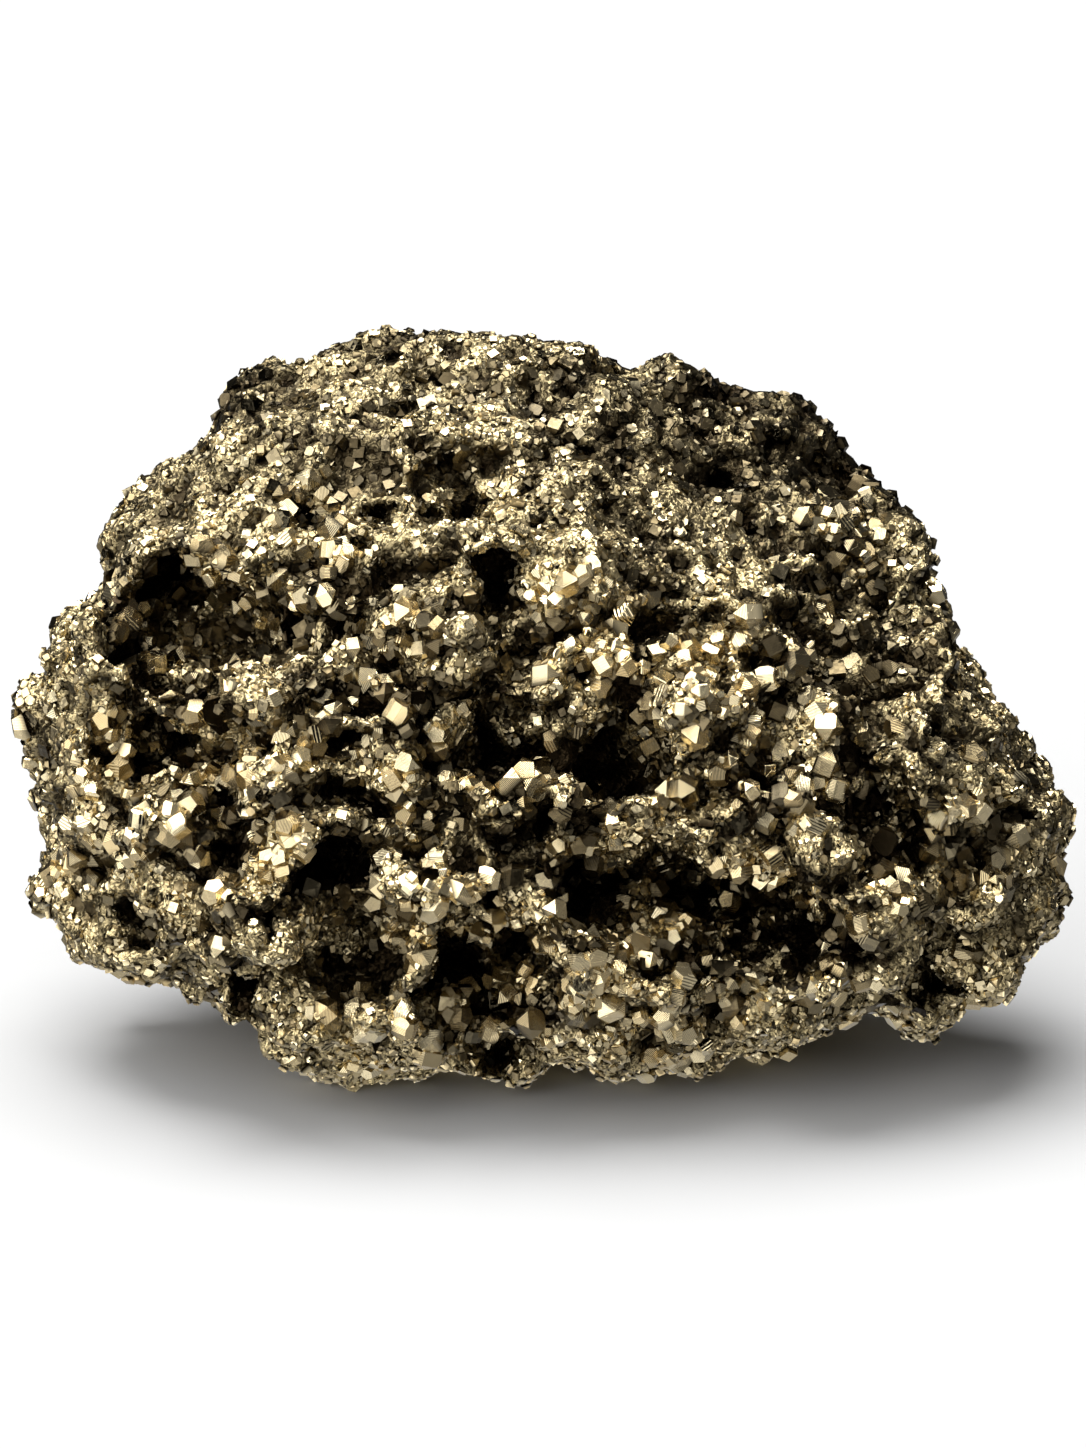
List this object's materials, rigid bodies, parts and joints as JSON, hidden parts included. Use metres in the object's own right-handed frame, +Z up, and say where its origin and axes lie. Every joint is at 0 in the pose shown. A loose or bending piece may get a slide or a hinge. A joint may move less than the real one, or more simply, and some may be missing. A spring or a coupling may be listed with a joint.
{
  "type": "pyrite specimen",
  "caption": "Natural lump of intergrown pyrite crystals with a fine grained crust, ledges and deep crystal-lined hollows, resting on a broken level underside.",
  "frame": {"origin": "middle of the bounding box's base, on the surface that the lump stands on", "axes": "+X to the viewer's right along the lump's longest extent, +Y away from the viewer, +Z up"},
  "size_m": [0.1062, 0.0726, 0.0738],
  "materials": {
    "pyrite": "bright pale brassy metallic crystal faces, darker and browner in the hollows"
  },
  "bodies": {
    "root": {"pyrite_cluster": "pyrite"}
  },
  "joints": []
}
